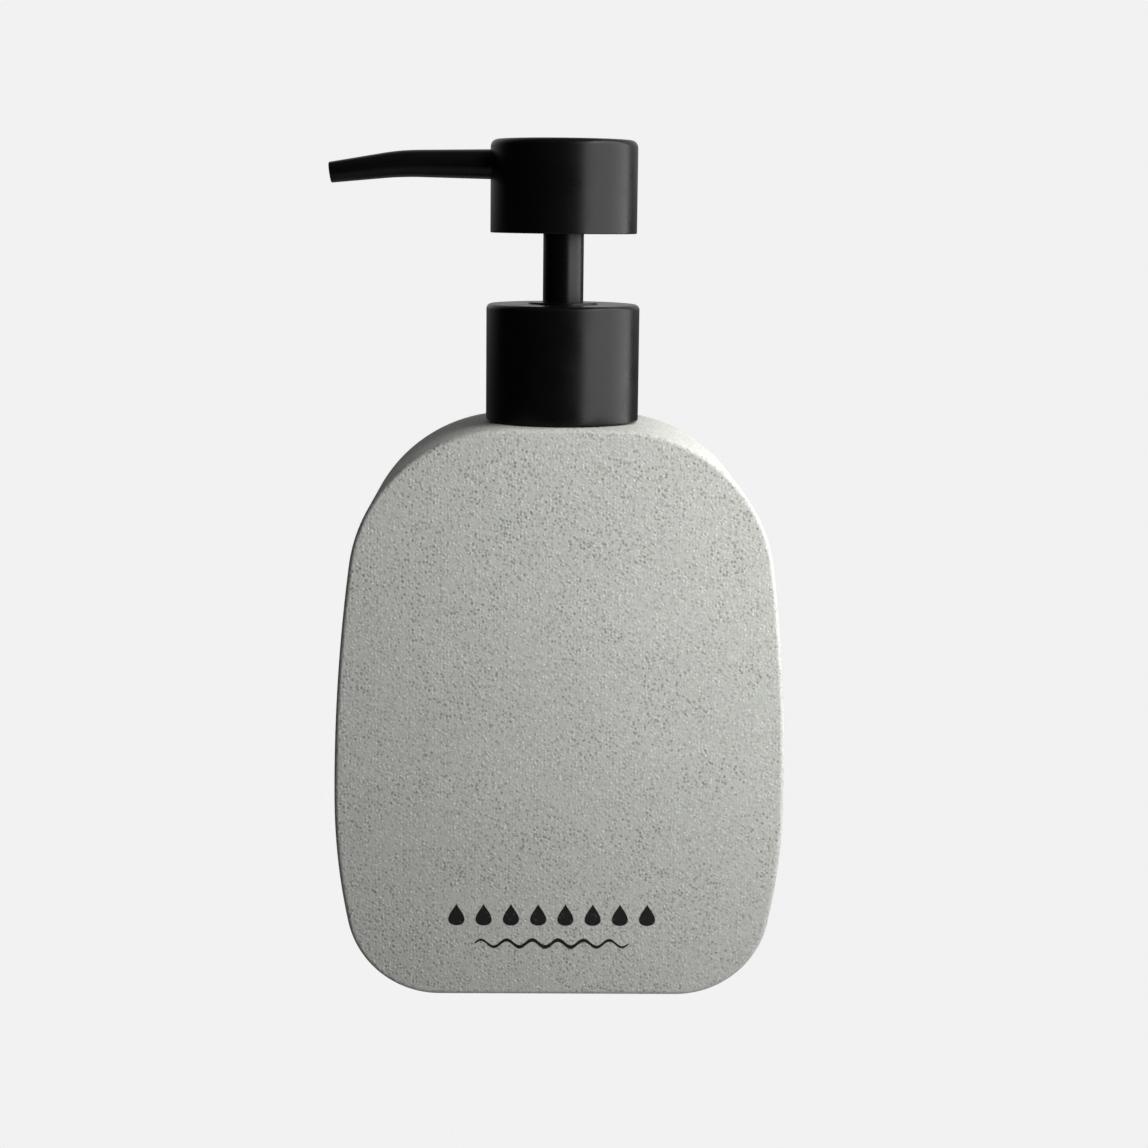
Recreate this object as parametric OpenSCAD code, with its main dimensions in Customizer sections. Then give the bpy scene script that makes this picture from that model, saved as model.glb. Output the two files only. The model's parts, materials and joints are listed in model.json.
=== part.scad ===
// Soap pump dispenser: a flat-faced stone-look bottle with a screw-on lotion pump.
// Z is up, the origin is on the pump's axis at the surface that the bottle stands on,
// the broad front faces -Y and the spout points to -X.

/* [Bottle] */
// Width of the bottle at its widest
bottle_w = 98.1; // [90:0.1:110]
// Depth of the bottle from front to back
bottle_t = 42; // [41:0.5:55]
// Height of the bottle's flat top above the table
bottle_h = 126; // [120:0.1:140]
// Height of the widest place
belly_z = 44.4; // [40:0.2:55]
// Radius of the shoulders
shoulder_r = 34.2; // [28:0.1:36]
// Radius of the long upper side curves
upper_side_r = 390; // [300:10:600]
// Radius of the short lower side curves
lower_side_r = 136; // [110:2:200]
// Radius of the bottom corners
corner_r = 20.5; // [18:0.1:24]
// Rounding round the front and back faces
edge_r = 1; // [0.5:0.25:4]
// Wall thickness of the casting
wall = 5; // [4:0.25:6]

/* [Pump] */
// Outside diameter of the collar
collar_d = 33.6; // [33:0.1:36]
// Height of the collar
collar_h = 25.4; // [25:0.1:27]
// Outside diameter of the head
head_d = 32; // [30:0.5:36]
// Height of the head
head_h = 20; // [19:0.1:24]
// Outside diameter of the stem
stem_d = 8.9; // [8.8:0.1:9.6]
// How far the head goes down
stroke = 14.5; // [10:0.5:14.5]

/* [Spout] */
// Distance from the pump's axis to the spout's tip
spout_reach = 50.8; // [45:0.2:60]
// Distance from the pump's axis to the spout's bend
bend_reach = 35.2; // [28:0.2:40]
// Spout thickness where it leaves the head
spout_root_d = 6.4; // [5.5:0.1:6.5]
// Spout thickness at the bend
spout_bend_d = 5.7; // [5:0.1:6]
// Spout thickness at the tip
spout_tip_d = 4.5; // [4.3:0.1:5]
// Drop of the spout's axis from bend to tip
spout_drop = 2.1; // [0:0.1:4]

/* [Neck thread] */
// Crest diameter of the neck thread
thread_d = 27.4; // [27:0.1:27.6]
// Root diameter of the neck thread
thread_root_d = 25; // [24.6:0.1:25.2]
// Rise of the thread per turn
thread_pitch = 4.23; // [4:0.01:4.4]
// Length of the thread in turns
thread_turns = 1.5; // [1:0.25:1.75]

/* [Spring] */
// Wire diameter of the return spring
wire_d = 1; // [0.8:0.05:1.1]
// Number of working coils
coils = 8; // [6:1:9]

/* [Hidden] */
$fn = 64;

// how far a cutter runs past the face that it cuts
cut = 1;
// radial gap of a glued joint, and gap between parts that are stacked
glue_gap = 0.05;
stack_gap = 0.2;

// colours
stone = [0.63, 0.63, 0.61];
black = [0.06, 0.06, 0.07];
natural = [0.90, 0.91, 0.90];
steel = [0.75, 0.76, 0.78];
foam = [0.16, 0.16, 0.17];

// foot pad and base plate
pad_w = 48;
pad_depth = 30;
pad_sink = 0.6;
pad_proud = 0.4;
base_z = pad_proud;
plate_w = 44;
plate_depth = 26;
plate_t = 2;
plate_ledge = 3;
cavity_edge_r = edge_r + 2;

// neck insert
neck_flange_d = 29.8;
neck_flange_t = 2;
neck_bore_d = 20.6;
neck_h = 17.5;
neck_top = bottle_h + neck_h;
spigot_tail = 2;
neck_thread_z = bottle_h + 4.5;
cap_thread_z = bottle_h + 3;
// half widths of the neck's thread ridge, and how much slimmer the cap's is
ridge_root_w = 1.05;
ridge_crest_w = 0.5;
ridge_slack = 0.05;
ridge_sink = 0.3;

// stack on the neck
gasket_t = 1.2;
flange_z = neck_top + gasket_t;
flange_t = 1.4;
flange_d = 25.2;
cap_plate_z = flange_z + flange_t + stack_gap;
cap_plate_t = 1.8;
cup_top = cap_plate_z + cap_plate_t + stack_gap;
cup_d = 20;
cup_bore_d = 17;
cup_h = 11.8;
cup_z = cup_top - cup_h;
chaplet_flange_d = 23;
chaplet_flange_t = 1.2;
chaplet_hub_d = 15;
guide_gap = 0.08;
guide_relief = 1;
guide_relief_h = 8;

// collar
collar_z = bottle_h + stack_gap;
collar_top = collar_z + collar_h;
collar_wall = 1.2;
collar_top_t = 1.1;
collar_edge_r = 1.1;
cap_d = collar_d - 2 * collar_wall;
cap_bore_d = thread_d + 0.6;
skirt_z = collar_z + 0.6;
hub_proud = 0.4;
hub_top = collar_top + hub_proud;

// head
head_clearance = 0.4;
head_z = hub_top + stroke + head_clearance;
head_top = head_z + head_h;
head_wall = 1.6;
head_top_t = 1.8;
head_edge_r = 1.6;
core_hub_r = 7.2;
core_inset = 0.7;
core_floor_z = head_z + core_inset;
core_floor_t = 1.4;
core_top = head_top - head_top_t - 0.1;
core_rib_t = 1.2;
spout_rise = 14.6;
spout_z = head_z + spout_rise;
stem_end_gap = 4.4;
stem_top = spout_z - stem_end_gap;

// cylinder and valve
bore_d = 13.2;
housing_wall = 1.6;
housing_d = bore_d + 2 * housing_wall;
valve_housing_d = 12;
piston_top = cup_z - 0.1;
piston_h = 10.4;
pin_head_d = 11.4;
pin_head_t = 2;
pin_head_z = piston_top - piston_h - pin_head_t - stack_gap;
pin_d = 3.2;
pin_h = 17;
shank_d = 7.1;
stem_bore_d = 5;
spring_l = 30;
spring_top = pin_head_z;
spring_z = spring_top - spring_l;
spring_gap = 0.8;
valve_bore_d = 9;
ball_chamber_d = 6.8;
seat_r = 1.5;
valve_h = 14.5;
seat_z = spring_z - valve_h;
ball_r = 2.5;
ball_lift = 1.6;
ball_gap = 0.03;
ball_z = seat_z + ball_r * sqrt(2) - seat_r + ball_gap;
cage_gap = 0.15;
cage_z = ball_z + ball_r + ball_lift + cage_gap;
cage_h = 4;
cage_bar = 1.2;
tail_d = 9;
tail_h = 12;
tail_z = seat_z - tail_h;
tube_d = 6;
tube_bore_d = 4.6;
tube_top = seat_z - 2;
tube_end = 8.5;
tube_slant = 35;

// outline of the bottle, seen from the front
half_w = bottle_w / 2;
high_a = asin((bottle_h - shoulder_r - belly_z) / (upper_side_r - shoulder_r));
low_a = asin((belly_z - base_z - corner_r) / (lower_side_r - corner_r));
shoulder_x = half_w - upper_side_r + (upper_side_r - shoulder_r) * cos(high_a);
corner_x = half_w - lower_side_r + (lower_side_r - corner_r) * cos(low_a);

// points along an arc, its far end left to the next arc
function arc(x, z, r, a0, a1, n) = [for (i = [0:n - 1]) arc_point(x, z, r, a0 + (a1 - a0) * i / n)];
function arc_point(x, z, r, a) = [x + r * cos(a), z + r * sin(a)];

// right half of the outline from the base up, moved inwards by d
function right_side(d) = concat(
  arc(corner_x, base_z + corner_r, corner_r - d, -90, -low_a, 8),
  arc(half_w - lower_side_r, belly_z, lower_side_r - d, -low_a, 0, 3),
  arc(half_w - upper_side_r, belly_z, upper_side_r - d, 0, high_a, 4),
  arc(shoulder_x, bottle_h - shoulder_r, shoulder_r - d, high_a, 90, 11),
  [arc_point(shoulder_x, bottle_h - shoulder_r, shoulder_r - d, 90)]
);
function flipped(points) = [for (i = [len(points) - 1:-1:0]) [-points[i].x, points[i].y]];
function bottle_outline(d) = concat(right_side(d), flipped(right_side(d)));

// faces of a stack of rings with n points each, closed at both ends
function ring_faces(n, rings) = concat(
  [[for (i = [n - 1:-1:0]) i]],
  [for (k = [0:rings - 2]) for (i = [0:n - 1]) [
    k * n + (i + 1) % n, (k + 1) * n + (i + 1) % n, (k + 1) * n + i, k * n + i
  ]],
  [[for (i = [0:n - 1]) (rings - 1) * n + i]]
);

// the bottle's outline moved inwards by d, as a slab of depth t with rounded edges
module outline_slab(d, t, r, steps) {
  front = [for (k = [0:steps]) [d + r * (1 - sin(90 * k / steps)), r * (1 - cos(90 * k / steps)) - t / 2]];
  back = [for (k = [steps:-1:0]) [front[k][0], -front[k][1]]];
  rings = concat(front, back);
  points = [for (ring = rings) for (p = bottle_outline(ring[0])) [p.x, ring[1], p.y]];
  n = len(bottle_outline(0));
  polyhedron(points, ring_faces(n, len(rings)));
}

// a plate with two round ends, w wide along X
module stadium(w, depth, h) {
  linear_extrude(h) {
    square([w - depth, depth], center = true);
    for (side = [-1, 1]) translate([side * (w - depth) / 2, 0]) circle(d = depth);
  }
}

module tube(outer_d, inner_d, h) {
  linear_extrude(h) difference() {
    circle(d = outer_d);
    circle(d = inner_d);
  }
}

// a thread ridge from radius root to radius crest, slimmer by slack, fading out at both ends
module thread_ridge(root, crest, slack) {
  step_a = 10;
  n = round(360 / step_a * thread_turns);
  ramp = 4;
  start = 0.1;
  root_w = ridge_root_w - slack;
  crest_w = ridge_crest_w - slack;
  points = [for (i = [0:n])
    let (a = step_a * i, tip = root + (crest - root) * max(start, min(1, i / ramp, (n - i) / ramp)))
    for (q = [[root, -root_w], [tip, -crest_w], [tip, crest_w], [root, root_w]])
      [q[0] * cos(a), q[0] * sin(a), q[1] + thread_pitch * a / 360]];
  flip = crest < root;
  faces = ring_faces(4, n + 1);
  polyhedron(points, flip ? [for (f = faces) [for (k = [len(f) - 1:-1:0]) f[k]]] : faces);
}

module bottle_shell() {
  color(stone) difference() {
    outline_slab(0, bottle_t, edge_r, 4);
    outline_slab(wall, bottle_t - 2 * wall, cavity_edge_r, 3);
    translate([0, 0, bottle_h - wall - cut]) cylinder(d = thread_root_d, h = wall + 2 * cut);
    translate([0, 0, bottle_h - neck_flange_t])
      cylinder(d = neck_flange_d + 2 * glue_gap, h = neck_flange_t + cut);
    translate([0, 0, base_z - cut])
      stadium(pad_w + 2 * glue_gap, pad_depth + 2 * glue_gap, pad_sink + cut);
    translate([0, 0, base_z])
      stadium(plate_w + 2 * glue_gap, plate_depth + 2 * glue_gap, pad_sink + plate_t);
    translate([0, 0, base_z])
      stadium(plate_w - 2 * plate_ledge, plate_depth - 2 * plate_ledge, wall + cut);
  }
}

module neck_insert() {
  spigot_z = bottle_h - wall - spigot_tail;
  color(natural) difference() {
    union() {
      translate([0, 0, spigot_z]) cylinder(d = thread_root_d - 2 * glue_gap, h = neck_top - spigot_z);
      translate([0, 0, bottle_h - neck_flange_t]) cylinder(d = neck_flange_d, h = neck_flange_t);
      translate([0, 0, neck_thread_z])
        thread_ridge(thread_root_d / 2 - ridge_sink, thread_d / 2, 0);
    }
    translate([0, 0, spigot_z - cut]) cylinder(d = neck_bore_d, h = neck_top - spigot_z + 2 * cut);
  }
}

module base_plate() {
  color(natural) translate([0, 0, base_z + pad_sink]) stadium(plate_w, plate_depth, plate_t);
}

module base_pad() {
  color(foam) stadium(pad_w, pad_depth, pad_proud + pad_sink);
}

// outline of a cup turned upside down: outer radius, height, wall, top thickness, edge rounding
module turned_cup(r, h, w, top_t, edge, hole_r) {
  rotate_extrude() difference() {
    union() {
      square([r, h - edge]);
      square([r - edge, h]);
      translate([r - edge, h - edge]) circle(r = edge);
    }
    translate([-cut, -cut]) square([r - w + cut, h - top_t + cut]);
    translate([-cut, h - top_t - cut]) square([hole_r + cut, top_t + 2 * cut]);
  }
}

module collar_shell() {
  hole_r = chaplet_hub_d / 2 + stack_gap;
  color(black) translate([0, 0, collar_z])
    turned_cup(collar_d / 2, collar_h, collar_wall, collar_top_t, collar_edge_r, hole_r);
}

module closure_cap() {
  plate_top = cap_plate_z + cap_plate_t;
  ridge_h = 1;
  color(black) {
    difference() {
      translate([0, 0, skirt_z]) cylinder(d = cap_d, h = plate_top - skirt_z);
      translate([0, 0, skirt_z - cut]) cylinder(d = cap_bore_d, h = cap_plate_z - skirt_z + cut);
      translate([0, 0, skirt_z]) cylinder(d = cup_d + stack_gap, h = plate_top);
    }
    translate([0, 0, cap_thread_z])
      thread_ridge(cap_bore_d / 2 + ridge_sink, cap_bore_d / 2 - ridge_h, ridge_slack);
  }
}

module pump_housing() {
  color(natural) difference() {
    union() {
      translate([0, 0, cup_z - housing_wall]) cylinder(d = cup_d, h = cup_top - cup_z + housing_wall);
      translate([0, 0, flange_z]) cylinder(d = flange_d, h = flange_t);
      translate([0, 0, seat_z - housing_wall]) cylinder(d = valve_housing_d, h = spring_z - seat_z);
      translate([0, 0, spring_z - housing_wall]) cylinder(d = housing_d, h = cup_z - spring_z);
      translate([0, 0, tail_z]) cylinder(d = tail_d, h = seat_z - tail_z);
    }
    translate([0, 0, cup_z]) cylinder(d = cup_bore_d, h = cup_top);
    translate([0, 0, spring_z]) cylinder(d = bore_d, h = cup_z);
    translate([0, 0, cage_z]) cylinder(d = valve_bore_d, h = spring_z - cage_z + cut);
    translate([0, 0, seat_z + ball_chamber_d / 2 - seat_r])
      cylinder(d = ball_chamber_d, h = cage_z - seat_z);
    translate([0, 0, seat_z])
      cylinder(r1 = seat_r, r2 = ball_chamber_d / 2, h = ball_chamber_d / 2 - seat_r);
    translate([0, 0, tube_top - cut]) cylinder(r = seat_r, h = seat_z - tube_top + 2 * cut);
    translate([0, 0, tail_z - cut]) cylinder(d = tube_d, h = tube_top - tail_z + cut);
  }
}

module chaplet() {
  color(black) difference() {
    union() {
      translate([0, 0, cup_z]) cylinder(d = cup_bore_d, h = cup_h);
      translate([0, 0, cup_top]) cylinder(d = chaplet_flange_d, h = chaplet_flange_t);
      translate([0, 0, cup_top]) cylinder(d = chaplet_hub_d, h = hub_top - cup_top);
    }
    translate([0, 0, cup_z - cut]) cylinder(d = stem_d + 2 * guide_gap, h = hub_top);
    translate([0, 0, cup_z - cut]) cylinder(d = stem_d + 2 * guide_relief, h = guide_relief_h);
  }
}

module neck_gasket() {
  color(natural) translate([0, 0, neck_top]) tube(thread_root_d, neck_bore_d, gasket_t);
}

module ball_cage() {
  bar_l = (ball_chamber_d + valve_bore_d) / 2 - 0.3;
  color(natural) translate([0, 0, cage_z]) {
    tube(valve_bore_d, ball_chamber_d, cage_h);
    for (turn = [0, 90]) rotate(turn)
      translate([-bar_l / 2, -cage_bar / 2, 0]) cube([bar_l, cage_bar, cage_bar]);
  }
}

module dip_tube() {
  block = 2 * tube_d;
  color(natural) difference() {
    translate([0, 0, tube_end]) tube(tube_d, tube_bore_d, tube_top - tube_end);
    translate([0, 0, tube_end]) rotate([0, tube_slant, 0])
      translate([-tube_d, -tube_d, -block]) cube([block, block, block]);
  }
}

// a sealing piston: a hub on the stem and two lips that wipe the cylinder
module piston() {
  lip_r = bore_d / 2 - 0.05;
  lip_t = 0.8;
  lip_h = 3.6;
  lip_edge = 0.8;
  root_r = lip_r - 0.4;
  hub_r = 4.9;
  hole_r = shank_d / 2 + 0.05;
  web_t = 1.2;
  web_z = (piston_h - web_t) / 2;
  web_top = web_z + web_t;
  lower = [
    [root_r - lip_t, web_z], [lip_r - lip_t, web_z - lip_h + lip_edge / 2],
    [lip_r, web_z - lip_h], [lip_r, web_z - lip_h + lip_edge], [root_r, web_z]
  ];
  upper = [
    [root_r, web_top], [lip_r, web_top + lip_h - lip_edge], [lip_r, web_top + lip_h],
    [lip_r - lip_t, web_top + lip_h - lip_edge / 2], [root_r - lip_t, web_top]
  ];
  hub = [[hub_r, web_top], [hub_r, piston_h], [hole_r, piston_h], [hole_r, 0], [hub_r, 0], [hub_r, web_z]];
  color(natural) translate([0, 0, piston_top - piston_h]) rotate_extrude()
    polygon(concat(lower, upper, hub));
}

// a round wire wound into a coil, with closed and flat end coils
module return_spring() {
  coil_r = (bore_d - wire_d) / 2 - spring_gap;
  wire_r = wire_d / 2;
  sides = 8;
  per_turn = 20;
  turns = coils + 2;
  height = spring_top - spring_z - wire_d;
  gap = (height - 2 * wire_d) / coils;
  flat = 0.98; // keeps the end coils from touching
  function rise(t) = t < 1 ? t * wire_d
    : t > turns - 1 ? height - (turns - t) * wire_d
    : wire_d + (t - 1) * gap;
  points = [for (i = [0:turns * per_turn]) for (k = [0:sides - 1])
    let (a = 360 * i / per_turn, b = 360 * k / sides, r = coil_r + wire_r * cos(b))
      [r * cos(a), r * sin(a), rise(i / per_turn) + wire_r * flat * (1 + sin(b))]];
  color(steel) translate([0, 0, spring_z]) polyhedron(points, ring_faces(sides, turns * per_turn + 1));
}

module inlet_ball() {
  color(steel) translate([0, 0, ball_z]) sphere(r = ball_r);
}

module stem() {
  shank_z = pin_head_z + pin_head_t + 0.5;
  color(black) difference() {
    union() {
      translate([0, 0, piston_top + glue_gap]) cylinder(d = stem_d, h = stem_top - piston_top - glue_gap);
      translate([0, 0, shank_z]) cylinder(d = shank_d, h = piston_top - shank_z + cut);
    }
    translate([0, 0, pin_head_z]) cylinder(d = stem_bore_d, h = stem_top);
  }
}

// valve pin: its head carries the piston, its ribbed shank plugs into the stem
module plunger_pin() {
  rib_w = stem_bore_d - 2 * glue_gap;
  rib_t = 0.8;
  rib_z = pin_head_t + 3;
  color(natural) translate([0, 0, pin_head_z]) {
    cylinder(d = pin_head_d, h = pin_head_t);
    cylinder(d = pin_d, h = pin_h);
    for (turn = [0, 90]) rotate(turn) translate([-rib_w / 2, -rib_t / 2, rib_z])
      cube([rib_w, rib_t, pin_h - cut - rib_z]);
  }
}

module head_core() {
  disc_r = head_d / 2 - head_wall;
  rib_h = core_top - core_floor_z - 2;
  color(black) difference() {
    union() {
      translate([0, 0, core_floor_z]) cylinder(r = disc_r, h = core_floor_t);
      translate([0, 0, core_floor_z]) cylinder(r = core_hub_r, h = core_top - core_floor_z);
      for (turn = [45:90:315]) rotate(turn) translate([0, -core_rib_t / 2, core_floor_z])
        cube([disc_r - 0.4, core_rib_t, rib_h]);
    }
    translate([0, 0, core_floor_z - cut])
      cylinder(d = stem_d + glue_gap, h = stem_top + glue_gap - core_floor_z + cut);
    translate([0, 0, core_floor_z]) cylinder(d = stem_bore_d, h = spout_z - core_floor_z);
    translate([0, 0, spout_z]) rotate([0, -90, 0]) cylinder(d = 2 * channel_r + 0.2, h = core_hub_r + cut);
    translate([-spout_root_x, 0, spout_z]) rotate([0, -90, 0]) cylinder(d = spout_root_d, h = core_hub_r);
  }
}

module head_shell() {
  color(black) difference() {
    translate([0, 0, head_z]) turned_cup(head_d / 2, head_h, head_wall, head_top_t, head_edge_r, 0);
    translate([0, 0, spout_z]) rotate([0, -90, 0]) cylinder(d = spout_root_d, h = head_d);
  }
}

// middle line of the spout as [x, z]: a level run, a round bend and the sloping tip
spout_root_x = 3.4;
channel_r = 1.6;
bend_round = 4;
run_start = [-head_d / 2, spout_z];
bend = [-bend_reach, spout_z];
tip = [-spout_reach, spout_z - spout_drop];
function towards(a, b, l) = a + l * (b - a) / norm(b - a);
bend_in = towards(bend, run_start, bend_round);
bend_out = towards(bend, tip, bend_round);
function bend_point(t) = (1 - t) * (1 - t) * bend_in + 2 * t * (1 - t) * bend + t * t * bend_out;
spout_line = concat(
  [[-spout_root_x, spout_z], run_start],
  [for (k = [0:6]) bend_point(k / 6)],
  [tip]
);
// outer radius of the spout at distance x from the pump's axis
function spout_r(x) = lookup(x, [
  [head_d / 2, spout_root_d / 2], [bend_reach, spout_bend_d / 2], [spout_reach, spout_tip_d / 2]
]);

// round rings across a line in the XZ plane, one radius each
module swept(line, radii, sides) {
  last = len(line) - 1;
  points = [for (i = [0:last]) let (d = line[min(i + 1, last)] - line[max(i - 1, 0)], u = d / norm(d))
    for (k = [0:sides - 1]) let (a = 360 * k / sides, r = radii[i])
      [line[i].x - r * cos(a) * u.y, r * sin(a), line[i].y + r * cos(a) * u.x]];
  polyhedron(points, ring_faces(sides, last + 1));
}

module spout() {
  mouth = towards(tip, bend, -cut);
  root = [cut - spout_root_x, spout_z];
  channel = concat([root], [for (i = [1:len(spout_line) - 2]) spout_line[i]], [mouth]);
  color(black) difference() {
    swept(spout_line, [for (p = spout_line) spout_r(-p.x)], 32);
    swept(channel, [for (p = channel) channel_r], 16);
  }
}

bottle_shell();
neck_insert();
base_plate();
base_pad();
collar_shell();
closure_cap();
pump_housing();
chaplet();
neck_gasket();
ball_cage();
dip_tube();
piston();
return_spring();
inlet_ball();
stem();
plunger_pin();
head_core();
head_shell();
spout();
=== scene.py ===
"""Soap pump dispenser: the looks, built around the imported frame. All lengths are in metres."""

import json
import math

import bmesh
import bpy
from mathutils import Matrix, Vector

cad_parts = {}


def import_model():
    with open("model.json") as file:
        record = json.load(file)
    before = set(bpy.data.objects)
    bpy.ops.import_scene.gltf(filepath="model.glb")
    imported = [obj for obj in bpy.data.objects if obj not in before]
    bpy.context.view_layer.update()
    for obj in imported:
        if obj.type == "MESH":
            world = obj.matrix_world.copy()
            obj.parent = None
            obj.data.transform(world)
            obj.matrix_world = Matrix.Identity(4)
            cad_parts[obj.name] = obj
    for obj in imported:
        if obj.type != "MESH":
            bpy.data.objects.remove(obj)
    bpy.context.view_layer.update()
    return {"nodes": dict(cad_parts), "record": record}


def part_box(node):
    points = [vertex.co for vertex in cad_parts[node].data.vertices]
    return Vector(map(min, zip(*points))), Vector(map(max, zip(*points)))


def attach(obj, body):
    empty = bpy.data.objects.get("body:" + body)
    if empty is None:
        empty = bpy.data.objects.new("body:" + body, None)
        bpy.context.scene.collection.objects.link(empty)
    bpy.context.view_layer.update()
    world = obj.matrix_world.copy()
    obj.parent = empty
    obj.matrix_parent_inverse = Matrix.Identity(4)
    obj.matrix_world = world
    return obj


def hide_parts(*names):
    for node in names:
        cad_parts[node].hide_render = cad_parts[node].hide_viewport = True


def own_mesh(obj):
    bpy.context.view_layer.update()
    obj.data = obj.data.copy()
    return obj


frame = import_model()

MM = 0.001

# The bottle's outline, seen from the front: arcs that meet smoothly.
BELLY_Z = 44.4 * MM
SHOULDER_R = 34.2 * MM
UPPER_SIDE_R = 390 * MM
LOWER_SIDE_R = 136 * MM
CORNER_R = 20.5 * MM
EDGE_R = 1 * MM
WALL = 5 * MM

# The spout's axis and radii, from the root through the bend to the tip.
BEND_REACH = 35.2 * MM
SPOUT_REACH = 50.8 * MM
SPOUT_DROP = 2.1 * MM
BEND_ROUND = 4 * MM
ROOT_R = 3.2 * MM
BEND_R = 2.85 * MM
TIP_R = 2.25 * MM
CHANNEL_R = 1.6 * MM

# Sliding and seated diameters inside the pump.
STEM_BORE_R = 2.5 * MM
SHANK_R = 3.55 * MM
HUB_R = 7.5 * MM
SPIGOT_R = 12.5 * MM
PLUG_R = 8.5 * MM
PLUG_H = 11.8 * MM
FLANGE_T = 1.2 * MM
WIRE_R = 0.5 * MM
COILS = 8

# Wall and top thicknesses of the two black shells, and the rounding of their top edges.
COLLAR_WALL = 1.2 * MM
COLLAR_TOP = 1.1 * MM
COLLAR_EDGE = 1.1 * MM
HEAD_WALL = 1.6 * MM
HEAD_TOP = 1.8 * MM
HEAD_EDGE = 1.6 * MM

# Details that are smaller than the CAD model's.
SOFT_EDGE = 0.3 * MM
FINE_EDGE = 0.12 * MM
LIP_EDGE = 0.25 * MM
INK_T = 0.03 * MM
SEAT_GAP = 0.05 * MM

# How far a cutter reaches past the surface that it cuts.
BEYOND = 1 * MM

ROUND_STEPS = 128


# ---------------------------------------------------------------- mesh helpers


def new_piece(name, points, faces, sharp_angle=35):
    """A mesh object with shared points merged and outward normals."""
    mesh = bpy.data.meshes.new(name)
    build = bmesh.new()
    verts = [build.verts.new(p) for p in points]
    for face in faces:
        build.faces.new([verts[i] for i in face])
    bmesh.ops.remove_doubles(build, verts=build.verts, dist=1e-7)
    bmesh.ops.recalc_face_normals(build, faces=build.faces)
    build.to_mesh(mesh)
    build.free()
    piece = bpy.data.objects.new(name, mesh)
    bpy.context.scene.collection.objects.link(piece)
    shade(piece, sharp_angle)
    return piece


def shade(piece, sharp_angle=35):
    """Smooth shading, with edges above sharp_angle degrees kept sharp."""
    mesh = piece.data
    mesh.polygons.foreach_set("use_smooth", [True] * len(mesh.polygons))
    mesh.set_sharp_from_angle(angle=math.radians(sharp_angle))


def apply_modifiers(piece):
    """Makes the piece's modifiers part of its mesh."""
    graph = bpy.context.evaluated_depsgraph_get()
    final = bpy.data.meshes.new_from_object(piece.evaluated_get(graph), depsgraph=graph)
    piece.modifiers.clear()
    piece.data = final


def cut_away(piece, cutters):
    """Cuts the cutters out of the piece and removes them."""
    for cutter in cutters:
        hole = piece.modifiers.new(cutter.name, "BOOLEAN")
        hole.operation = "DIFFERENCE"
        hole.solver = "EXACT"
        hole.object = cutter
    apply_modifiers(piece)
    for cutter in cutters:
        bpy.data.objects.remove(cutter)
    shade(piece)


def arc(x, z, r, start, end, steps):
    """Points (x, z) along an arc, its far end left to the next arc. Angles are in radians."""
    turns = [start + (end - start) * i / steps for i in range(steps)]
    return [(x + r * math.cos(a), z + r * math.sin(a)) for a in turns]


def ring_faces(count, rings, closed=False):
    """Quads between rings of count points each. closed joins the last ring to the first."""
    faces = []
    for k in range(rings if closed else rings - 1):
        here, above = k * count, (k + 1) % rings * count
        for i in range(count):
            j = (i + 1) % count
            faces.append((here + i, here + j, above + j, above + i))
    return faces


def rounded(corners, steps=8):
    """A profile with each corner (r, z, radius) rounded to its radius."""
    line = []
    count = len(corners)
    for i, (r, z, radius) in enumerate(corners):
        corner = Vector((r, z))
        if radius == 0:
            line.append((r, z))
            continue
        to_before = (Vector(corners[i - 1][:2]) - corner).normalized()
        to_after = (Vector(corners[(i + 1) % count][:2]) - corner).normalized()
        half = to_before.angle(to_after) / 2
        centre = corner + (to_before + to_after).normalized() * radius / math.sin(half)
        start = corner + to_before * radius / math.tan(half) - centre
        end = corner + to_after * radius / math.tan(half) - centre
        sweep = start.angle_signed(end)
        for k in range(steps + 1):
            turned = start.copy()
            turned.rotate(Matrix.Rotation(-sweep * k / steps, 2))
            line.append(tuple(centre + turned))
    return line


def lathe(name, profile, closed=True, steps=ROUND_STEPS):
    """Turns a profile of (r, z) points round the pump's axis."""
    points = []
    for r, z in profile:
        for i in range(steps):
            a = 2 * math.pi * i / steps
            points.append((r * math.cos(a), r * math.sin(a), z))
    faces = ring_faces(steps, len(profile), closed)
    return new_piece(name, points, [f for f in faces if not on_axis(f, profile, steps)])


def swept(name, rings, closed=False, steps=64):
    """A round tube through rings (x, z, turn, radius) in the XZ plane. closed joins its ends."""
    points = []
    for x, z, turn, r in rings:
        for i in range(steps):
            a = 2 * math.pi * i / steps
            up = r * math.cos(a)
            points.append((x - up * math.sin(turn), r * math.sin(a), z + up * math.cos(turn)))
    faces = ring_faces(steps, len(rings), closed)
    if not closed:
        faces += [tuple(range(steps)), tuple(range(len(points) - steps, len(points)))]
    return new_piece(name, points, faces)


def on_axis(face, profile, steps):
    """True for a quad that has shrunk to nothing on the axis."""
    return all(profile[i // steps][0] == 0 for i in face)


def stadium(name, width, depth, low, high, edge=0.0, steps=48):
    """A plate with two round ends, width along X, its upper and lower edges rounded by edge."""
    rows = [(0, low + edge), (0, high - edge)]
    if edge:
        rows = [(edge, low), *rows, (edge, high)]
    points = []
    for inset, z in rows:
        r = depth / 2 - inset
        for side in (1, -1):
            middle = side * (width - depth) / 2
            start = -math.pi / 2 if side > 0 else math.pi / 2
            for k in range(steps + 1):
                a = start + math.pi * k / steps
                points.append((middle + r * math.cos(a), r * math.sin(a), z))
    count = 2 * (steps + 1)
    faces = ring_faces(count, len(rows))
    faces.append(tuple(reversed(range(count))))
    faces.append(tuple(range((len(rows) - 1) * count, len(rows) * count)))
    return new_piece(name, points, faces)


# ---------------------------------------------------------------- material helpers


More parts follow.
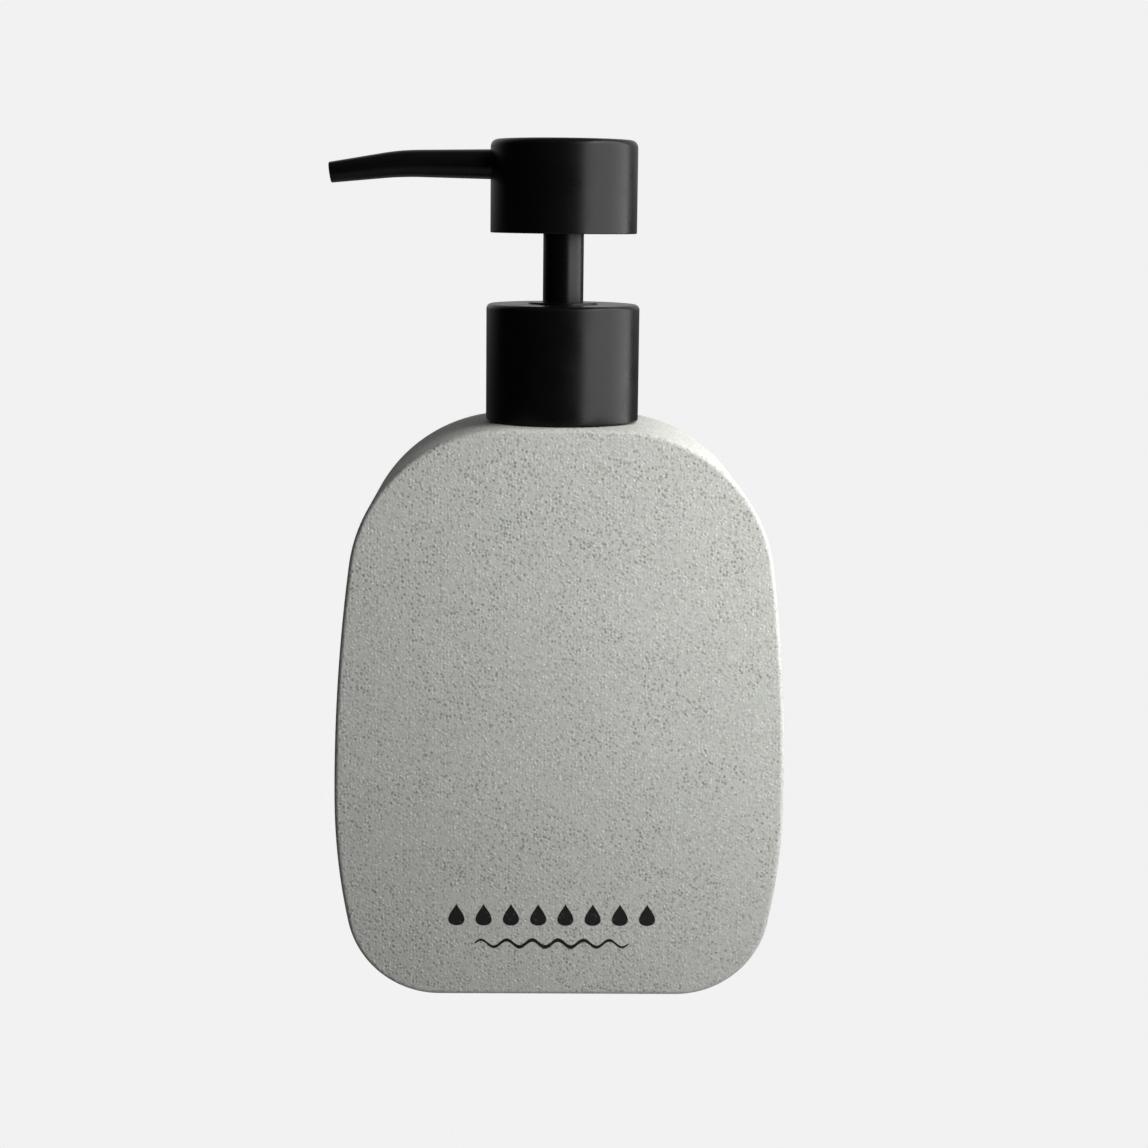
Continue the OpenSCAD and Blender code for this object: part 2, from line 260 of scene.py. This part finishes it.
def surface(tree, shader, colour, rough):
    """Links a colour and a roughness to the shader."""
    tree.links.new(colour, shader.inputs["Base Color"])
    tree.links.new(rough, shader.inputs["Roughness"])


def add(tree, kind, settings=None, **inputs):
    """A new shader node. An input is a plain value, or another node's output to link."""
    made = tree.nodes.new("ShaderNode" + kind)
    for name, value in (settings or {}).items():
        setattr(made, name, value)
    for name, value in inputs.items():
        connect(tree, made.inputs[name.replace("_", " ")], value)
    return made


def connect(tree, socket, value):
    """Links value to the socket if it is an output, and else sets it."""
    if isinstance(value, bpy.types.NodeSocket):
        tree.links.new(value, socket)
    else:
        socket.default_value = value


def new_material(name, **sockets):
    """A material with a Principled shader. Returns (material, tree, shader)."""
    made = bpy.data.materials.new(name)
    made.use_nodes = True
    shader = made.node_tree.nodes["Principled BSDF"]
    for socket, value in sockets.items():
        shader.inputs[socket.replace("_", " ")].default_value = value
    return made, made.node_tree, shader


def millimetres(tree, stretch=(1, 1, 1)):
    """The piece's own coordinates, in millimetres."""
    place = add(tree, "TexCoord")
    scaled = add(tree, "Mapping", Vector=place.outputs["Object"], Scale=[s / MM for s in stretch])
    return scaled.outputs["Vector"]


def calc(tree, operation, *values):
    """A maths node on plain values or outputs."""
    made = tree.nodes.new("ShaderNodeMath")
    made.operation = operation
    for socket, value in zip(made.inputs, values):
        connect(tree, socket, value)
    return made.outputs[0]


def spread(tree, value, low, high, to_low=0.0, to_high=1.0):
    """value from low to high, mapped smoothly to the other range and held inside it."""
    made = add(
        tree, "MapRange", {"interpolation_type": "SMOOTHSTEP"},
        Value=value, From_Min=low, From_Max=high, To_Min=to_low, To_Max=to_high,
    )
    return made.outputs["Result"]


def noise(tree, place, size, detail=2.0, roughness=0.5):
    """Noise whose lumps are about size millimetres across, from 0 to 1."""
    made = add(tree, "TexNoise", Vector=place, Scale=1 / size, Detail=detail, Roughness=roughness)
    return made.outputs["Fac"]


def cells(tree, place, size):
    """Cells about size millimetres across: distance to the middle, and three random numbers."""
    made = add(tree, "TexVoronoi", Vector=place, Scale=1 / size)
    random = add(tree, "SeparateColor", Color=made.outputs["Color"])
    return made.outputs["Distance"], random.outputs


def dots(tree, place, size, reach, share):
    """Soft round dots in the middle of a share of the cells, from 0 to 1."""
    distance, random = cells(tree, place, size)
    spot = spread(tree, distance, reach, reach * 0.35)
    chosen = calc(tree, "LESS_THAN", random[0], share)
    depth = calc(tree, "MULTIPLY_ADD", random[1], 0.6, 0.4)
    return calc(tree, "MULTIPLY", calc(tree, "MULTIPLY", spot, chosen), depth)


def mix(tree, factor, first, second):
    """first where factor is 0, second where it is 1."""
    made = tree.nodes.new("ShaderNodeMix")
    made.data_type = "RGBA"
    connect(tree, made.inputs["Factor"], factor)
    connect(tree, made.inputs[6], first)
    connect(tree, made.inputs[7], second)
    return made.outputs[2]


def bump(tree, shader, height, depth):
    """Relief in the surface, depth metres for a height of 1."""
    made = add(tree, "Bump", Height=height, Distance=depth, Strength=1.0)
    tree.links.new(made.outputs["Normal"], shader.inputs["Normal"])


# ---------------------------------------------------------------- materials

STONE = (0.605, 0.615, 0.575, 1)
STONE_DARK = (0.17, 0.17, 0.155, 1)
STONE_PALE = (0.93, 0.93, 0.90, 1)
# Near-white of the painted glint on the stone's glossy spots.
PAINTED_GLINT = (0.95, 0.95, 0.93, 1)
BLACK = (0.003, 0.003, 0.0033, 1)
NATURAL = (0.78, 0.79, 0.77, 1)
WHITE = (0.84, 0.85, 0.83, 1)
RUBBER = (0.70, 0.71, 0.68, 1)
RUBBER_CELL = (0.52, 0.53, 0.50, 1)
FOAM = (0.03, 0.03, 0.032, 1)
FOAM_CELL = (0.012, 0.012, 0.013, 1)
STEEL = (0.60, 0.61, 0.63, 1)
STEEL_LINE = (0.46, 0.47, 0.49, 1)
INK = (0.012, 0.012, 0.012, 1)
INK_THIN = (0.05, 0.05, 0.048, 1)


def stone():
    """Cast sandstone effect: grey sand with dark pores, pale grains and a few glossy spots, their
    glint painted near-white into the colour.
    """
    made, tree, shader = new_material("cast_stone", Specular_IOR_Level=0.25)
    place = millimetres(tree)
    patch = spread(tree, noise(tree, place, 9), 0.35, 0.65, 0.55, 1.0)
    pores = calc(tree, "MULTIPLY", dots(tree, place, 0.75, 0.62, 0.75), patch)
    grains = dots(tree, place, 0.68, 0.6, 0.6)
    # Glossy spots: lower roughness, and a painted glint in the colour below.
    glossy_spots_painted_glint = dots(tree, place, 1.8, 0.16, 0.5)
    sand = noise(tree, place, 0.4, 2, 0.6)
    cloud = noise(tree, place, 26, 2)
    colour = mix(tree, spread(tree, cloud, 0.3, 0.7, 0.0, 0.07), STONE, STONE_PALE)
    colour = mix(tree, spread(tree, sand, 0.25, 0.75, 0.22, 0.0), colour, STONE_DARK)
    colour = mix(tree, calc(tree, "MULTIPLY", grains, 0.28), colour, STONE_PALE)
    colour = mix(tree, calc(tree, "MULTIPLY", pores, 0.56), colour, STONE_DARK)
    # Painted glint: the glossy spots are painted near-white.
    colour = mix(tree, calc(tree, "MULTIPLY", glossy_spots_painted_glint, 0.4), colour, PAINTED_GLINT)
    surface(tree, shader, colour, spread(tree, glossy_spots_painted_glint, 0.0, 0.6, 0.88, 0.4))
    relief = calc(tree, "SUBTRACT", calc(tree, "MULTIPLY_ADD", sand, 0.7, grains), pores)
    bump(tree, shader, relief, 0.07 * MM)
    return made


def black_plastic():
    """Satin black polypropylene with a fine spark-eroded grain and faint scuffs."""
    made, tree, shader = new_material("satin_black", Base_Color=BLACK, Specular_IOR_Level=0.23)
    place = millimetres(tree)
    handled = noise(tree, place, 6, 3)
    rough = spread(tree, handled, 0.3, 0.7, 0.26, 0.33)
    tree.links.new(rough, shader.inputs["Roughness"])
    bump(tree, shader, noise(tree, place, 0.12, 2), 0.004 * MM)
    return made


def natural_plastic(name, colour, rough):
    """Unpigmented plastic that lets light through a little."""
    made, tree, shader = new_material(name, Subsurface_Weight=0.35, Subsurface_Scale=0.002)
    flow = noise(tree, millimetres(tree, (1, 1, 0.25)), 5, 2)
    darker = [c * 0.8 for c in colour[:3]] + [1]
    tint = mix(tree, spread(tree, flow, 0.3, 0.7, 0.0, 0.12), colour, darker)
    surface(tree, shader, tint, spread(tree, flow, 0.3, 0.7, rough, rough + 0.08))
    bump(tree, shader, noise(tree, millimetres(tree), 0.3, 2), 0.006 * MM)
    return made


def cellular(name, colour, cell_colour, size, reach, rough, depth):
    """Dull foamed rubber with small pits, size millimetres apart and depth metres deep."""
    made, tree, shader = new_material(name, Specular_IOR_Level=0.3)
    pit = dots(tree, millimetres(tree), size, reach, 0.9)
    surface(tree, shader, mix(tree, pit, colour, cell_colour), spread(tree, pit, 0, 1, *rough))
    bump(tree, shader, calc(tree, "MULTIPLY", pit, -1), depth)
    return made


def gasket_rubber():
    """Fine pale foam of the washer."""
    return cellular("gasket_foam", RUBBER, RUBBER_CELL, 0.35, 0.7, (0.75, 0.9), 0.03 * MM)


def pad_foam():
    """Closed-cell foam of the foot: dull black with small burst cells."""
    return cellular("pad_foam", FOAM, FOAM_CELL, 0.5, 0.75, (0.8, 0.95), 0.08 * MM)


def steel():
    """Drawn stainless steel with fine lines and small changes in gloss."""
    made, tree, shader = new_material("drawn_steel", Metallic=1.0)
    place = millimetres(tree, (1, 1, 6))
    lines = noise(tree, place, 0.5, 3)
    tint = mix(tree, lines, STEEL, STEEL_LINE)
    surface(tree, shader, tint, spread(tree, lines, 0.3, 0.7, 0.2, 0.34))
    bump(tree, shader, lines, 0.004 * MM)
    return made


def ink():
    """Dull black screen print that follows the grain of the stone."""
    made, tree, shader = new_material("black_ink", Specular_IOR_Level=0.25)
    place = millimetres(tree)
    thin = dots(tree, place, 0.9, 0.45, 0.5)
    surface(tree, shader, mix(tree, thin, INK, INK_THIN), spread(tree, thin, 0, 1, 0.6, 0.8))
    bump(tree, shader, noise(tree, place, 0.45, 3), 0.03 * MM)
    return made


# ---------------------------------------------------------------- pieces


def own(piece, body, slot, material, *nodes):
    """Gives a piece its body and material, and says which CAD nodes it stands for. The slot is not
    used.
    """
    piece.data.materials.clear()
    piece.data.materials.append(material)
    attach(piece, body)
    if nodes:
        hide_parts(*nodes)


def right_outline(box, inset):
    """Right half of the bottle's outline from the base up, moved inwards by inset."""
    low, high = box
    half_w, base, top = high.x, low.z, high.z
    high_a = math.asin((top - SHOULDER_R - BELLY_Z) / (UPPER_SIDE_R - SHOULDER_R))
    low_a = math.asin((BELLY_Z - base - CORNER_R) / (LOWER_SIDE_R - CORNER_R))
    shoulder_x = half_w - UPPER_SIDE_R + (UPPER_SIDE_R - SHOULDER_R) * math.cos(high_a)
    corner_x = half_w - LOWER_SIDE_R + (LOWER_SIDE_R - CORNER_R) * math.cos(low_a)
    square = math.pi / 2
    return [
        *arc(corner_x, base + CORNER_R, CORNER_R - inset, -square, -low_a, 28),
        *arc(half_w - LOWER_SIDE_R, BELLY_Z, LOWER_SIDE_R - inset, -low_a, 0, 12),
        *arc(half_w - UPPER_SIDE_R, BELLY_Z, UPPER_SIDE_R - inset, 0, high_a, 20),
        *arc(shoulder_x, top - SHOULDER_R, SHOULDER_R - inset, high_a, square, 36),
        (shoulder_x, top - inset),
    ]


def outline_slab(name, box, wall, edge, rows):
    """The bottle's outline moved inwards by wall, as a slab with rounded front and back edges."""
    half_t = box[1].y - wall
    steps = 10
    rounding = [math.pi / 2 * k / steps for k in range(steps + 1)]
    front = [(wall + edge + SOFT_EDGE, -half_t)]
    front += [(wall + edge * (1 - math.sin(a)), edge * (1 - math.cos(a)) - half_t) for a in rounding]
    flat = half_t - edge
    middle = [(wall, flat * (2 * k / rows - 1)) for k in range(1, rows)]
    rings = front + middle + [(inset, -y) for inset, y in reversed(front)]
    points = []
    for inset, y in rings:
        half = right_outline(box, inset)
        outline = half + [(-x, z) for x, z in reversed(half)]
        points += [(x, y, z) for x, z in outline]
    count = len(points) // len(rings)
    faces = ring_faces(count, len(rings))
    faces += [tuple(range(count)), tuple(range(len(points) - count, len(points)))]
    return new_piece(name, points, faces)


def disc(name, r, low, high):
    return lathe(name, [(0, low), (r, low), (r, high), (0, high)], closed=False)


def seat(name, plate, margin, low, high):
    """A stadium cutter, margin wider all round than a plate's box."""
    corner = plate[1]
    return stadium(name, 2 * (corner.x + margin), 2 * (corner.y + margin), low, high)


def bottle(material):
    """The cast shell, hollow, with its seats for the neck insert, the base plate and the pad."""
    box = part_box("bottle_shell")
    plate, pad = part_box("base_plate"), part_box("base_pad")
    shell = outline_slab("stone_bottle", box, 0, EDGE_R, 14)
    base, top = box[0].z, box[1].z
    flange_r, flange_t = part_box("neck_insert")[1].x, 2 * MM
    ledge = 3 * MM
    cut_away(shell, [
        outline_slab("cavity", box, WALL, EDGE_R + 2 * MM, 6),
        disc("spigot_hole", SPIGOT_R, top - WALL - BEYOND, top + BEYOND),
        disc("flange_seat", flange_r + SEAT_GAP, top - flange_t, top + BEYOND),
        seat("pad_recess", pad, SEAT_GAP, base - BEYOND, plate[0].z),
        seat("plate_seat", plate, SEAT_GAP, base, plate[1].z),
        seat("casting_hole", plate, -ledge, base, base + WALL + BEYOND),
    ])
    own(shell, "bottle", "stone_resin", material, "bottle_shell")


def foam_foot(material):
    """The non-slip pad, its edges a little rounded."""
    low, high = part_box("base_pad")
    foot = stadium("foam_foot", 2 * high.x, 2 * high.y, low.z, high.z, edge=SOFT_EDGE / 2)
    own(foot, "bottle", "foam_pad", material, "base_pad")


def collar(material):
    """The sleeve over the closure, with a hole in its top for the hub."""
    low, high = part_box("collar_shell")
    r, bore = high.x, high.x - COLLAR_WALL
    ceiling = high.z - COLLAR_TOP
    hole = HUB_R + 0.2 * MM
    sleeve = lathe("collar_sleeve", rounded([
        (r, low.z, SOFT_EDGE),
        (r, high.z, COLLAR_EDGE),
        (hole, high.z, FINE_EDGE),
        (hole, ceiling, FINE_EDGE),
        (bore, ceiling, SOFT_EDGE),
        (bore, low.z, SOFT_EDGE),
    ]))
    own(sleeve, "closure", "black_plastic", material, "collar_shell")


def head(material):
    """The drum that the hand presses, open below, with a hole for the spout."""
    low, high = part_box("head_shell")
    r, bore = high.x, high.x - HEAD_WALL
    ceiling = high.z - HEAD_TOP
    drum = lathe("head_drum", rounded([
        (0, high.z, 0),
        (0, ceiling, 0),
        (bore, ceiling, SOFT_EDGE),
        (bore, low.z, SOFT_EDGE),
        (r, low.z, SOFT_EDGE),
        (r, high.z, HEAD_EDGE),
    ]))
    hole_r = ROOT_R + 0.06 * MM
    hole = [(x, spout_axis_z(), math.pi, hole_r) for x in (-r / 2, -2 * r)]
    cut_away(drum, [swept("spout_hole", hole)])
    own(drum, "head", "black_plastic", material, "head_shell")


def stem(material):
    """The tube from the head down to the piston, thinner below its step."""
    low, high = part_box("stem")
    r = high.x
    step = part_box("piston")[1].z + 0.05 * MM
    tube = lathe("stem_tube", rounded([
        (r, step, FINE_EDGE),
        (r, high.z, FINE_EDGE),
        (STEM_BORE_R, high.z, FINE_EDGE),
        (STEM_BORE_R, low.z, FINE_EDGE),
        (SHANK_R, low.z, FINE_EDGE),
        (SHANK_R, step, FINE_EDGE),
    ], 4), steps=96)
    own(tube, "head", "black_plastic", material, "stem")


def chaplet(material):
    """The stem's guide: a plug in the cylinder's mouth, a flange and the hub seen round the stem."""
    low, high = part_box("chaplet")
    flange_r = high.x
    under, over = low.z + PLUG_H, low.z + PLUG_H + FLANGE_T
    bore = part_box("stem")[1].x + 0.08 * MM
    relief, relief_z = bore + 0.92 * MM, low.z + 7 * MM
    guide = lathe("pump_chaplet", rounded([
        (PLUG_R, low.z, FINE_EDGE),
        (PLUG_R, under, FINE_EDGE),
        (flange_r, under, FINE_EDGE),
        (flange_r, over, FINE_EDGE),
        (HUB_R, over, FINE_EDGE),
        (HUB_R, high.z, FINE_EDGE),
        (bore, high.z, SOFT_EDGE),
        (bore, relief_z, FINE_EDGE),
        (relief, relief_z, FINE_EDGE),
        (relief, low.z, FINE_EDGE),
    ], 4), steps=96)
    own(guide, "pump", "black_plastic", material, "chaplet")


def spout_axis_z():
    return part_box("spout")[1].z - ROOT_R


def bent_axis(axis_z, steps=12):
    """The spout's middle line (x, z): a level run, a round bend and the sloping end."""
    bend = Vector((-BEND_REACH, axis_z))
    face = Vector((-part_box("head_shell")[1].x, axis_z))
    tip = Vector((-SPOUT_REACH, axis_z - SPOUT_DROP))
    before = bend + (face - bend).normalized() * BEND_ROUND
    after = bend + (tip - bend).normalized() * BEND_ROUND
    curve = []
    for k in range(steps + 1):
        t = k / steps
        curve.append((1 - t) ** 2 * before + 2 * t * (1 - t) * bend + t * t * after)
    return [Vector((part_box("spout")[1].x, axis_z)), face, *curve, tip]


def outer_radius(reach):
    """The spout's outer radius at a distance from the pump's axis."""
    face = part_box("head_shell")[1].x
    if reach <= face:
        return ROOT_R
    if reach < BEND_REACH:
        return ROOT_R + (BEND_R - ROOT_R) * (reach - face) / (BEND_REACH - face)
    return BEND_R + (TIP_R - BEND_R) * (reach - BEND_REACH) / (SPOUT_REACH - BEND_REACH)


def lip(tip, turn, steps=5):
    """Rings round the outlet's rim, from its outer edge over the end to the channel."""
    along = Vector((math.cos(turn), math.sin(turn)))
    quarter = [math.pi / 2 * k / steps for k in range(steps + 1)]
    outer = [(1 - math.sin(a), TIP_R - LIP_EDGE * (1 - math.cos(a))) for a in quarter[1:]]
    inner = [(1 - math.cos(a), CHANNEL_R + LIP_EDGE * (1 - math.sin(a))) for a in quarter]
    return [(*(tip - along * LIP_EDGE * back), turn, r) for back, r in outer + inner]


def spout(material):
    """The thin tube that bends down near its end, with a channel right through it."""
    line = bent_axis(spout_axis_z())
    last = len(line) - 1
    turns = []
    for i in range(last + 1):
        along = line[min(i + 1, last)] - line[max(i - 1, 0)]
        turns.append(math.atan2(along.y, along.x))
    tip, turn = line[last], turns[last]
    end = Vector((math.cos(turn), math.sin(turn)))
    outside = [(*p, a, outer_radius(-p.x)) for p, a in zip(line, turns)]
    inside = [(*p, a, CHANNEL_R) for p, a in zip(line, turns)]
    outside[last] = (*(tip - end * LIP_EDGE), turn, TIP_R)
    inside[last] = (*(tip - end * 2 * LIP_EDGE), turn, CHANNEL_R)
    tube = swept("spout_tube", outside + lip(tip, turn) + inside[::-1], closed=True)
    own(tube, "head", "black_plastic", material, "spout")


def coil_climb(t, rise):
    """How far the wire has climbed after t turns: by its own thickness in each end turn."""
    wire_d = 2 * WIRE_R
    pitch = (rise - 2 * wire_d) / COILS
    if t < 1:
        return min(t * wire_d, wire_d + (t - 1) * pitch)
    if t > COILS + 1:
        return rise - (COILS + 2 - t) * wire_d
    return wire_d + (t - 1) * pitch


def return_coil(material):
    """The return spring: round wire with closed ends."""
    low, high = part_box("return_spring")
    coil_r = high.x - WIRE_R
    flatter = 0.98  # Keeps the wire just clear of itself where end turns touch.
    per_turn, sides = 48, 14
    turns = COILS + 2
    rise = high.z - low.z - 2 * WIRE_R
    points = []
    for i in range(turns * per_turn + 1):
        t = i / per_turn
        z = low.z + WIRE_R + coil_climb(t, rise)
        for k in range(sides):
            b = 2 * math.pi * k / sides
            r = coil_r + WIRE_R * math.cos(b)
            a = 2 * math.pi * t
            points.append((r * math.cos(a), r * math.sin(a), z + WIRE_R * flatter * math.sin(b)))
    rings = turns * per_turn + 1
    faces = ring_faces(sides, rings)
    faces += [tuple(range(sides)), tuple(range((rings - 1) * sides, rings * sides))]
    coil = new_piece("return_coil", points, faces, 60)
    own(coil, "pump", "steel", material, "return_spring")
    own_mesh(coil)


def droplet(x, z, width, height, steps=28):
    """Outline of a drop with its point up, centred on (x, z)."""
    outline = []
    for k in range(steps):
        t = 2 * math.pi * k / steps
        swell = math.sin(t) * math.sin(t / 2) ** 1.6
        outline.append((x + width * 0.65 * swell, z + height / 2 * math.cos(t)))
    return outline


def wave(x, z, length, height, thickness, swings, steps=96):
    """Outline of a wavy stroke that thins out at both ends."""
    upper, lower = [], []
    for k in range(steps + 1):
        u = k / steps
        along = x + length * (u - 0.5)
        middle = z + height / 2 * math.sin(2 * math.pi * swings * u)
        half = thickness / 2 * math.sin(math.pi * (0.04 + 0.92 * u)) ** 0.4
        upper.append((along, middle + half))
        lower.append((along, middle - half))
    return upper + lower[::-1]


def front_print(material):
    """A generic printed band: a row of drops over a wavy line."""
    face_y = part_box("bottle_shell")[0].y
    middle, drop_z, wave_z = -1.4 * MM, 18.9 * MM, 12.3 * MM
    drops, pitch = 8, 6 * MM
    places = [middle + pitch * (k - (drops - 1) / 2) for k in range(drops)]
    outlines = [droplet(x, drop_z, 4 * MM, 5 * MM) for x in places]
    outlines.append(wave(middle, wave_z, 34 * MM, 1.6 * MM, 0.9 * MM, swings=6))
    points, faces = [], []
    for outline in outlines:
        start, count = len(points), len(outline)
        for y in (face_y - INK_T, face_y):
            points += [(x, y, z) for x, z in outline]
        faces += [tuple(start + i for i in face) for face in ring_faces(count, 2)]
        faces += [tuple(range(first, first + count)) for first in (start, start + count)]
    own(new_piece("front_print", points, faces), "bottle", "black_plastic", material)


# ---------------------------------------------------------------- studio

CAMERA_PLACE = (-6.16 * MM, -470 * MM, 171.96 * MM)
CAMERA_PAN = math.radians(-1.125)
CAMERA_DOWN = math.radians(9.715)
CAMERA_ROLL = math.radians(0.633)
CAMERA_LENS = 66.71
PALE = (0.886, 0.886, 0.886, 1)

# How bright each part of the surroundings is to the object, from 0 to 1.
BACKDROP = 0.6
CEILING = 0.08
TABLE = 0.28
ROOM = 0.015


def camera():
    """The photographer's place: level with the head, looking down a little."""
    data = bpy.data.cameras.new("camera")
    data.lens = CAMERA_LENS
    data.sensor_width = 36
    data.clip_start, data.clip_end = 0.01, 50
    made = bpy.data.objects.new("camera", data)
    bpy.context.scene.collection.objects.link(made)
    pan = Matrix.Rotation(CAMERA_PAN, 4, "Z")
    tilt = Matrix.Rotation(math.pi / 2 - CAMERA_DOWN, 4, "X")
    roll = Matrix.Rotation(CAMERA_ROLL, 4, "Z")
    made.matrix_world = Matrix.Translation(CAMERA_PLACE) @ pan @ tilt @ roll
    bpy.context.scene.camera = made


def softbox(name, place, target, width, height, power):
    """A flat lamp that faces target. The camera doesn't see it."""
    data = bpy.data.lights.new(name, "AREA")
    data.shape = "RECTANGLE"
    data.size, data.size_y = width, height
    data.energy = power
    made = bpy.data.objects.new(name, data)
    made.visible_camera = False
    bpy.context.scene.collection.objects.link(made)
    made.location = place
    aim = Vector(target) - Vector(place)
    made.rotation_mode = "QUATERNION"
    made.rotation_quaternion = aim.to_track_quat("-Z", "Y")


def floor():
    """A pale table, lit evenly and clear from below. It gives the object no light."""
    made, tree, shader = new_material("pale_floor")
    glow = add(tree, "Emission", Color=PALE)
    side = add(tree, "NewGeometry")
    both = tree.nodes.new("ShaderNodeMixShader")
    connect(tree, both.inputs[0], side.outputs["Backfacing"])
    connect(tree, both.inputs[1], glow.outputs[0])
    connect(tree, both.inputs[2], add(tree, "BsdfTransparent").outputs[0])
    tree.links.new(both.outputs[0], tree.nodes["Material Output"].inputs["Surface"])
    tree.nodes.remove(shader)
    steps, r = 48, 2
    rim = [(x, y, 0) for x, y in arc(0, 0, r, 0, 2 * math.pi, steps)]
    ground = new_piece("floor", rim, [tuple(range(steps))])
    if ground.data.polygons[0].normal.z < 0:
        ground.data.flip_normals()
    ground.data.materials.append(made)
    ground.visible_glossy = False
    ground.visible_diffuse = False
    ground.visible_shadow = False


def world():
    """Pale to the camera. To the object: a backdrop behind it, a weak ceiling and a weak table."""
    made = bpy.data.worlds.new("studio")
    made.use_nodes = True
    tree = made.node_tree
    way = add(tree, "SeparateXYZ", Vector=add(tree, "TexCoord").outputs["Generated"])
    backward, upward = way.outputs["Y"], way.outputs["Z"]
    table_edge = spread(tree, upward, -0.1, 0.16, 0.1, 1.0)
    behind = calc(tree, "MULTIPLY", spread(tree, backward, 0.25, 0.9, 0.0, BACKDROP), table_edge)
    above = spread(tree, upward, 0.35, 0.9, 0.0, CEILING)
    below = spread(tree, upward, -0.3, -0.7, 0.0, TABLE)
    total = calc(tree, "ADD", calc(tree, "ADD", behind, above), calc(tree, "ADD", below, ROOM))
    light = add(tree, "CombineColor", Red=total, Green=total, Blue=total)
    path = add(tree, "LightPath")
    colour = mix(tree, path.outputs["Is Camera Ray"], light.outputs["Color"], PALE)
    tree.links.new(colour, tree.nodes["Background"].inputs["Color"])
    bpy.context.scene.world = made


camera()
floor()
world()
# The key light stands upright on the right. Its rear part is only as low as the pump needs.
softbox("key", (0.125, -0.1475, 0.185), (0.0, -0.1475, 0.185), 0.15, 0.40, 0.75)
softbox("pump_key", (0.125, -0.01, 0.235), (0.0, -0.01, 0.235), 0.125, 0.30, 0.415)
softbox("upper_key", (0.22, -0.12, 0.45), (0.0, 0.0, 0.15), 0.08, 0.08, 0.16)
bpy.context.scene.view_settings.view_transform = "Standard"

black = black_plastic()
natural = natural_plastic("natural_pp", NATURAL, 0.35)
white = natural_plastic("white_pe", WHITE, 0.45)
metal = steel()

bottle(stone())
foam_foot(pad_foam())
front_print(ink())
collar(black)
head(black)
stem(black)
chaplet(black)
spout(black)
return_coil(metal)

MATERIALS = {
    "black_plastic": black,
    "natural_plastic": natural,
    "piston_plastic": white,
    "gasket_rubber": gasket_rubber(),
    "steel": metal,
}
for part in frame["record"]["subparts"]:
    looks = frame["nodes"][part["node"]].data.materials
    if part["material_slot"] in MATERIALS:
        for i in range(len(looks)):
            looks[i] = MATERIALS[part["material_slot"]]
